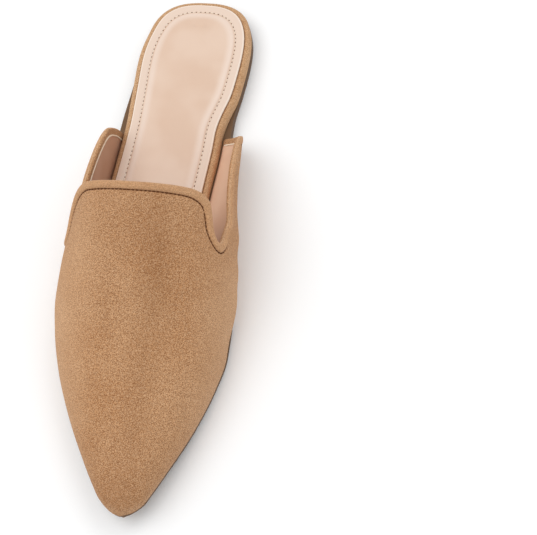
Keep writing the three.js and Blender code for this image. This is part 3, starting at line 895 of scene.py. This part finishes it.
def buildStitchTree():
    tree = bpy.data.node_groups.new("stitchRow", "GeometryNodeTree")
    kinds = {"Geometry": "Geometry"}
    kinds.update(dict.fromkeys(("Pitch", "Length", "Width", "Height", "Unevenness"), "Float"))
    kinds.update({"Seed": "Int", "Material": "Material"})
    for label, kind in kinds.items():
        tree.interface.new_socket(label, in_out="INPUT", socket_type=f"NodeSocket{kind}")
    tree.interface.new_socket("Geometry", in_out="OUTPUT", socket_type="NodeSocketGeometry")
    given = tree.nodes.new("NodeGroupInput").outputs
    curve = addNode(tree, "GeometryNodeMeshToCurve", None, Mesh=given["Geometry"]).outputs["Curve"]
    spacing = {"Curve": curve, "Length": given["Pitch"]}
    spaced = addNode(tree, "GeometryNodeResampleCurve", {"mode": "LENGTH"}, **spacing)
    tangent = tree.nodes.new("GeometryNodeInputTangent").outputs["Tangent"]
    outward = addNode(tree, "GeometryNodeInputNamedAttribute", {"data_type": "FLOAT_VECTOR"}, Name="outward")
    lying = addNode(tree, "FunctionNodeAlignRotationToVector", {"axis": "X"}, Vector=tangent)
    upright = addNode(
        tree,
        "FunctionNodeAlignRotationToVector",
        {"axis": "Z", "pivot_axis": "X"},
        Rotation=lying.outputs["Rotation"],
        Vector=outward.outputs["Attribute"],
    )
    bead = addNode(tree, "GeometryNodeMeshUVSphere", None, Segments=8, Rings=6, Radius=0.5).outputs["Mesh"]
    sides = {"X": given["Length"], "Y": given["Width"], "Z": given["Height"]}
    sizes = addNode(tree, "ShaderNodeCombineXYZ", None, **sides)
    thread = addNode(tree, "GeometryNodeTransform", None, Geometry=bead, Scale=sizes.outputs["Vector"])
    rounded = addNode(tree, "GeometryNodeSetShadeSmooth", None, Geometry=thread.outputs["Geometry"])
    spread = addNode(tree, "FunctionNodeRandomValue", {"data_type": "FLOAT"}, Seed=given["Seed"])
    feed(tree, spread.inputs[2], mathNode(tree, "SUBTRACT", 1.0, given["Unevenness"]))
    feed(tree, spread.inputs[3], 1.0)
    placed = addNode(
        tree,
        "GeometryNodeInstanceOnPoints",
        None,
        Points=spaced.outputs["Curve"],
        Instance=rounded.outputs["Geometry"],
        Rotation=upright.outputs["Rotation"],
        Scale=spread.outputs[1],
    )
    joined = addNode(tree, "GeometryNodeRealizeInstances", None, Geometry=placed.outputs["Instances"])
    finished = addNode(
        tree, "GeometryNodeSetMaterial", None, Geometry=joined.outputs["Geometry"], Material=given["Material"]
    )
    out = tree.nodes.new("NodeGroupOutput")
    tree.links.new(finished.outputs["Geometry"], out.inputs["Geometry"])
    return tree


stitchTree = buildStitchTree()


def sewnRow(name, pathAt, offset, sizes, material, closed=False):
    # lengths in millimetres: "lift" is the row's height, and "start" shifts it along its path
    path = np.hstack(pathAt(offset, sizes["lift"]))
    if closed:
        path = np.vstack([path, path[:1]])
    walked = np.concatenate([[0], np.cumsum(np.linalg.norm(np.diff(path[:, :3], axis=0), axis=1))])
    pitch = walked[-1] / round(walked[-1] / sizes["pitch"]) if closed else sizes["pitch"]
    reach = walked[-1] - (pitch - sizes["start"] if closed else 0)
    even = np.arange(sizes["start"], reach, 0.5)
    sampled = np.stack([np.interp(even, walked, column) for column in path.T], axis=1)
    points, normals = sampled[:, :3], sampled[:, 3:]
    mesh = bpy.data.meshes.new(name)
    mesh.from_pydata((points * mm).tolist(), [(k, k + 1) for k in range(len(points) - 1)], [])
    mesh.attributes.new("outward", "FLOAT_VECTOR", "POINT").data.foreach_set("vector", normals.ravel())
    piece = placeObject(name, mesh)
    modifier = piece.modifiers.new("stitches", "NODES")
    modifier.node_group = stitchTree
    inputs = {label: sizes[label.lower()] * mm for label in ("Length", "Width", "Height")}
    inputs.update({"Pitch": pitch * mm, "Unevenness": sizes["unevenness"]})
    inputs.update({"Seed": sizes["seed"], "Material": material})
    for item in stitchTree.interface.items_tree:
        if item.in_out == "INPUT" and item.name in inputs:
            modifier[item.identifier] = inputs[item.name]
    bpy.context.view_layer.update()
    sewn = bpy.data.meshes.new_from_object(piece.evaluated_get(bpy.context.evaluated_depsgraph_get()))
    piece.modifiers.remove(modifier)
    piece.data = sewn
    sewn.name = name
    print(f"{name}: {len(sewn.polygons)} faces")
    return piece


toplineThread = {
    "pitch": 1.85, "start": 0, "lift": -0.25, "length": 1.4,
    "width": 0.95, "height": 0.6, "unevenness": 0.12, "seed": 3,
}
# the needle holes of the topline are dark beads of painted shade
toplineHoleShade = {
    "pitch": toplineThread["pitch"], "start": 0.92, "lift": -0.5, "length": 0.6,
    "width": 0.6, "height": 0.2, "unevenness": 0.1, "seed": 4,
}
seam = shape["bandWidth"]
toplineStitches = sewnRow("toplineStitches", toplinePath, seam, toplineThread, darkThread)
toplineHoleShades = sewnRow("toplineHoleShades", toplinePath, seam, toplineHoleShade, darkThread)
print("topline sewn")

# Footbed and sock: stacked outlines as in the part, with finer edges. Here the board draws in from further
# back than the part's, as in the photo.
bedSizes = {
    "height": 5.4,
    "foreHeight": 3.2,
    "round": 2.2,
    "seam": 2.75,
    "inset": 0.1,
    "room": 0.6,
    "coverFrom": {1: 0.2, -1: 0.12},
    "coverTo": {1: 0.287, -1: 0.284},
    "roundSteps": 9,
    "acrossSteps": 6,
    "steps": (30, 96, 22),
    "brushed": 0.8,
}
sockSizes = {"inset": 3, "crown": 0.35, "acrossSteps": 12, "steps": (34, 110, 22)}
# Across the sock: inset from its cut edge and height over the footbed, up to the padded middle
sockProfile = [
    (0, 0), (-0.04, 0.35), (0, 0.7), (0.12, 0.9), (0.35, 1.02), (0.8, 1.08), (1.5, 1.1),
    (2.4, 1.1), (3.2, 1.08), (3.65, 0.98), (4, 0.78), (4.2, 0.7), (4.42, 0.8), (4.75, 1.02),
    (5.3, 1.28), (6.1, 1.52), (7.3, 1.72), (8.9, 1.85), (10.9, 1.93), (13.5, 1.97),
]


def boardInset(at, side=1):
    # the board draws in to stand inside the quarters, later on the medial side (1) than on the lateral (-1)
    covered = featherAt(at) + shape["wall"] + bedSizes["room"]
    drawn = smooth(bedSizes["coverFrom"][side], bedSizes["coverTo"][side], at)
    return bedSizes["inset"] + (covered - bedSizes["inset"]) * drawn


def boardHeight(at):
    forward = smooth(shape["archFrom"], shape["archTo"], at)
    return bedSizes["height"] + (bedSizes["foreHeight"] - bedSizes["height"]) * forward


def boardBase(at):
    return soleTop(at) + shape["clearance"]


def boardTop(at):
    return boardBase(at) + boardHeight(at)


def outlineRing(inset, height, steps):
    # one outline: up the medial side to the toe and back along the lateral side
    short = shape["noseRound"] / 2
    distance = stations(inset(0.0), shape["length"] - shape["tipDrawback"] * inset(1.0) - short, steps)
    at = distance / shape["length"]
    y = heelBack - distance
    lines = []
    for side in (1, -1):
        middle, half = planAt(distance, inset(at, side), short)
        lines.append(np.stack([middle + axisX + side * half, y, height(at)], axis=-1))
    return np.vstack([lines[0], lines[1][::-1]])


def stackedRings(rings, crown, acrossSteps):
    # rings from the bottom up, closed straight across below and over a crowned grid above
    size = len(rings[0])
    points = list(rings)
    faces = []
    for level in range(len(rings) - 1):
        for k in range(size):
            a, b = level * size + k, level * size + (k + 1) % size
            faces.append((a, b, b + size, a + size))
    half = size // 2
    faces += [(k, size - 1 - k, size - 2 - k, k + 1) for k in range(half - 1)]
    top = rings[-1]
    start = (len(rings) - 1) * size
    gridStart = len(rings) * size
    for step in range(1, acrossSteps):
        share = step / acrossSteps
        line = top[:half] * (1 - share) + top[half:][::-1] * share
        line[:, 2] += crown * (1 - (1 - 2 * share) ** 2)
        points.append(line)
    medial = [start + k for k in range(half)]
    lateral = [start + size - 1 - k for k in range(half)]
    lines = [medial]
    lines += [[gridStart + step * half + k for k in range(half)] for step in range(acrossSteps - 1)]
    lines.append(lateral)
    for left, right in zip(lines[:-1], lines[1:]):
        faces += [(left[k], left[k + 1], right[k + 1], right[k]) for k in range(half - 1)]
    return np.vstack(points), faces


def insetBy(more):
    return lambda at, side=1: boardInset(at, side) + more


def footbedRings():
    rings = [outlineRing(boardInset, boardBase, bedSizes["steps"])]
    for step in range(bedSizes["roundSteps"] + 1):
        turn = step / bedSizes["roundSteps"] * math.pi / 2
        inward, down = 1 - math.cos(turn), 1 - math.sin(turn)
        rings.append(
            outlineRing(
                insetBy(inward * bedSizes["round"]),
                lambda at: boardTop(at) - down * np.minimum(bedSizes["round"], boardHeight(at) / 2),
                bedSizes["steps"],
            )
        )
    rings.append(outlineRing(insetBy(bedSizes["seam"]), boardTop, bedSizes["steps"]))
    return rings


# the last ring lies under the sock's edge, and from there on the suede is darkened with painted shade between
# the rim and the sock
rimRings = footbedRings()
rimPoints, rimFaces = stackedRings(rimRings, 0, bedSizes["acrossSteps"])
rimShade = np.zeros(len(rimPoints))
rimShade[(len(rimRings) - 1) * len(rimRings[0]) :] = 1
rimNapAndShade = {"brushed": np.full(len(rimPoints), bedSizes["brushed"]), "shade": rimShade}
footbedRim = makePiece("footbedRim", rimPoints, rimFaces, suedeRim, rimNapAndShade)


def sockRing(inset, up):
    return outlineRing(
        insetBy(sockSizes["inset"] + inset),
        lambda at: boardTop(at) + shape["clearance"] + up,
        sockSizes["steps"],
    )


sockRings = [sockRing(inset, up) for inset, up in sockProfile]
sockPoints, sockFaces = stackedRings(sockRings, sockSizes["crown"], sockSizes["acrossSteps"])
insets = np.repeat([inset for inset, _ in sockProfile], len(sockRings[0]))
insets = np.concatenate([insets, np.full(len(sockPoints) - len(insets), sockProfile[-1][0])])
sockPad = makePiece("sockPad", sockPoints, sockFaces, sockLeather, {"inset": insets})


def sockPath(inset, up):
    ring = sockRing(inset, up)
    return ring, np.broadcast_to([0.0, 0.0, 1.0], ring.shape)


sockThread = {
    "pitch": 2.3, "start": 0, "lift": 0.84, "length": 1.6,
    "width": 0.75, "height": 0.5, "unevenness": 0.1, "seed": 5,
}
# the needle holes of the sock are dark beads of painted shade
sockHoleShade = {
    "pitch": sockThread["pitch"], "start": 1.15, "lift": 0.76, "length": 0.7,
    "width": 0.8, "height": 0.16, "unevenness": 0.15, "seed": 6,
}
sockStitches = sewnRow("sockStitches", sockPath, sockTones["seam"], sockThread, paleThread, True)
sockHoleShades = sewnRow("sockHoleShades", sockPath, sockTones["seam"], sockHoleShade, needleHoleShade, True)
print("footbed and sock made")

# Outsole: rows lie along the ribs of the tread, square to the heel's own axis
treadSizes = {
    "turn": 8.7,
    "pitch": 1.48,
    "depth": 0.55,
    "perRib": 6,
    "plainStep": 2.5,
    "bevel": 1.1,
    "heelZone": (0.0, 0.22),
    "foreZone": (0.506, 0.837),
    "acrossSteps": 26,
    "shankSink": 0.25,
    "shankTo": 0.6,
    "endLength": 12,
    "endRows": 16,
    "endMargin": 0.02,
    "closest": 0.6,
    "flat": 0.45,
    "slope": 0.4,
    "bevelShare": 0.3,
    "sideDepth": 0.25,
    "wallMiddle": 0.6,
    "topBevel": 0.12,
    "topInset": 0.1,
    "topSteps": 8,
    # shares of the wall's painted shade on the sole's top and on its bevel
    "topTone": 0.5,
    "bevelTone": 0.7,
}


def outsoleMesh():
    turn = math.radians(treadSizes["turn"])
    axes = np.array([[math.cos(turn), math.sin(turn)], [-math.sin(turn), math.cos(turn)]])
    x = np.concatenate([outlineMiddle + outlineHalf, (outlineMiddle - outlineHalf)[::-1]])
    y = np.concatenate([heelBack - outlineDistance, (heelBack - outlineDistance)[::-1]])
    across, along = axes @ np.stack([x, y])
    low, high = along.argmin(), along.argmax()
    first, second = min(low, high), max(low, high)
    chains = [np.arange(first, second + 1), np.concatenate([np.arange(second, len(x)), np.arange(first + 1)])]
    sides = []
    for chain in chains:
        order = np.argsort(along[chain], kind="stable")
        sides.append((along[chain][order], across[chain][order]))
    zones = []
    for start, end in (treadSizes["heelZone"], treadSizes["foreZone"]):
        zones.append((heelBack - end * shape["length"], heelBack - start * shape["length"]))
    fine = treadSizes["pitch"] / treadSizes["perRib"]
    end = treadSizes["endLength"]
    margin = end * (1 - np.cos(np.linspace(0, math.pi / 2, treadSizes["endRows"])))
    lowest, highest = along.min() + treadSizes["endMargin"], along.max() - treadSizes["endMargin"]
    plainRows = np.arange(lowest + end, highest - end, treadSizes["plainStep"])
    rows = [lowest + margin, highest - margin, plainRows]
    rows += [np.arange(start, end, fine) for start, end in zones]
    rows = np.unique(np.concatenate(rows))
    rows = rows[(rows >= lowest) & (rows <= highest)]
    kept = [rows[0]]
    for row in rows[1:]:
        if row - kept[-1] > fine * treadSizes["closest"]:
            kept.append(row)
    rows = np.array(kept)
    edges = np.sort(np.stack([np.interp(rows, *side) for side in sides]), axis=0)
    inZone = sum(((rows > start) & (rows < end)) for start, end in zones).astype(float)
    nearest = np.min([np.abs(rows - (start + end) / 2) - (end - start) / 2 for start, end in zones], axis=0)
    fade = np.clip(-nearest / treadSizes["pitch"], 0, 1) * inZone
    wave = 0.5 - 0.5 * np.cos(rows / treadSizes["pitch"] * 2 * math.pi)
    groove = np.clip((wave - treadSizes["flat"]) / treadSizes["slope"], 0, 1) * fade
    shares = np.linspace(0, 1, treadSizes["acrossSteps"] + 1)
    bevel = treadSizes["bevel"]
    width = edges[1] - edges[0]
    inset = np.minimum(bevel, width * treadSizes["bevelShare"])
    ground = np.zeros_like(rows)
    loops, grooves, walls = [], [], []

    def level(u, height, sunk, wallShade):
        # one line of points along the sole at an across place u
        px = u * math.cos(turn) - rows * math.sin(turn)
        py = u * math.sin(turn) + rows * math.cos(turn)
        at = np.clip((heelBack - py) / shape["length"], 0, 1)
        loops.append(np.stack([px + axisX, py, height(at)], axis=-1))
        grooves.append(sunk)
        walls.append(np.full(len(rows), wallShade))

    for share in shares:
        sink = treadSizes["shankSink"] * (1 - inZone) * math.sin(math.pi * share)
        place = edges[0] + inset + (width - 2 * inset) * share
        sunk = treadSizes["depth"] * groove
        level(place, lambda at: soleBottom(at) + sunk + sink * (at < treadSizes["shankTo"]), groove, 0)
    sideDepth, middle = treadSizes["sideDepth"] * treadSizes["depth"], treadSizes["wallMiddle"]
    wall = [
        (lambda at: soleBottom(at) + bevel + sideDepth * groove, groove * 0.5, treadSizes["bevelTone"]),
        (lambda at: soleBottom(at) * (1 - middle) + soleTop(at) * middle, ground, 1),
        (lambda at: soleTop(at) - treadSizes["topBevel"], ground, 1),
    ]
    for line in wall:
        level(edges[1], *line)
    for share in np.linspace(1, 0, treadSizes["topSteps"] + 1):
        place = edges[0] + treadSizes["topInset"] + (width - 2 * treadSizes["topInset"]) * share
        level(place, soleTop, ground, treadSizes["topTone"])
    for line in reversed(wall):
        level(edges[0], *line)
    size = len(loops)
    points = np.stack(loops, axis=1).reshape(-1, 3)
    faces = []
    for k in range(len(rows) - 1):
        for s in range(size):
            t = (s + 1) % size
            faces.append((k * size + s, k * size + t, (k + 1) * size + t, (k + 1) * size + s))
    faces += [tuple(reversed(range(size))), tuple((len(rows) - 1) * size + s for s in range(size))]
    # the groove value also carries painted shade into the grooves
    values = {"groove": np.stack(grooves, axis=1).ravel(), "wallShade": np.stack(walls, axis=1).ravel()}
    return points, faces, values


points, faces, values = outsoleMesh()
outsoleTread = makePiece("outsoleTread", points, faces, soleRubber, values, 35)
print("outsole made")

# Every piece belongs to the one body
for piece, slotName in (
    (upperSuede, "suede_upper"),
    (upperLining, "sock_leather"),
    (liningEdge, "sock_leather"),
    (toplineStitches, "suede_upper"),
    (toplineHoleShades, "suede_upper"),
    (footbedRim, "suede_rim"),
    (sockPad, "sock_leather"),
    (sockStitches, "sock_leather"),
    (sockHoleShades, "sock_leather"),
    (outsoleTread, "sole_rubber"),
):
    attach(piece, "root")
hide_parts("upper")
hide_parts("footbed")
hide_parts("sock")
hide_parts("outsole")

# Floor, light and camera
studio = {
    "floorSize": 6.0,
    "floorTone": "#fdfdfd",
    "world": 0.76,
    "worldTint": (0.975, 0.99, 1.0, 1),
    "key": {"place": (-0.5, -0.1, 1.4), "size": 1.2, "watts": 7.5},
    "fill": {"place": (0.36, 0.62, 1.2), "size": 0.5, "watts": 2.2},
    "target": (0.0, -0.02, 0.02),
}
cameraSizes = {
    "place": (0.16399, -0.27657, 0.64555),
    "azimuth": 22.525,
    "elevation": 65.533,
    "roll": 16.607,
    "focalPixels": 1490,
    "imageWidth": 537,
    "sensor": 36,
}


def makeFloor():
    half = studio["floorSize"] / 2
    mesh = bpy.data.meshes.new("floor")
    corners = [(-half, -half, 0), (half, -half, 0), (half, half, 0), (-half, half, 0)]
    mesh.from_pydata(corners, [], [(0, 1, 2, 3)])
    paper = {"Base_Color": studio["floorTone"], "Roughness": 0.9, "Specular_IOR_Level": 0.1}
    mesh.materials.append(newMaterial("floorPaper", **paper)[0])
    return placeObject("floor", mesh)


def makeLight(name, settings):
    light = bpy.data.lights.new(name, "AREA")
    light.size = settings["size"]
    light.energy = settings["watts"]
    holder = placeObject(name, light)
    holder.location = settings["place"]
    aim = Vector(studio["target"]) - Vector(settings["place"])
    holder.rotation_euler = aim.to_track_quat("-Z", "Y").to_euler()


def makeCamera():
    azimuth, elevation, roll = (math.radians(cameraSizes[name]) for name in ("azimuth", "elevation", "roll"))
    ahead = math.cos(elevation)
    forward = Vector((-math.sin(azimuth) * ahead, math.cos(azimuth) * ahead, -math.sin(elevation)))
    level = Vector((math.cos(azimuth), math.sin(azimuth), 0))
    down = forward.cross(level)
    right = math.cos(roll) * level + math.sin(roll) * down
    up = right.cross(forward)
    camera = bpy.data.cameras.new("camera")
    camera.sensor_fit = "HORIZONTAL"
    camera.sensor_width = cameraSizes["sensor"]
    camera.lens = cameraSizes["focalPixels"] / cameraSizes["imageWidth"] * cameraSizes["sensor"]
    camera.clip_start = 0.01
    holder = placeObject("camera", camera)
    turned = Matrix((right, up, -forward)).transposed().to_4x4()
    holder.matrix_world = Matrix.Translation(cameraSizes["place"]) @ turned
    bpy.context.scene.camera = holder


makeFloor()
makeLight("key", studio["key"])
makeLight("fill", studio["fill"])
makeCamera()
world = bpy.data.worlds.new("studio")
bpy.context.scene.world = world
world.use_nodes = True
sky = world.node_tree.nodes["Background"].inputs
sky["Color"].default_value = studio["worldTint"]
sky["Strength"].default_value = studio["world"]
bpy.context.scene.view_settings.view_transform = "Standard"
bpy.context.scene.view_settings.look = "None"
print("studio set")
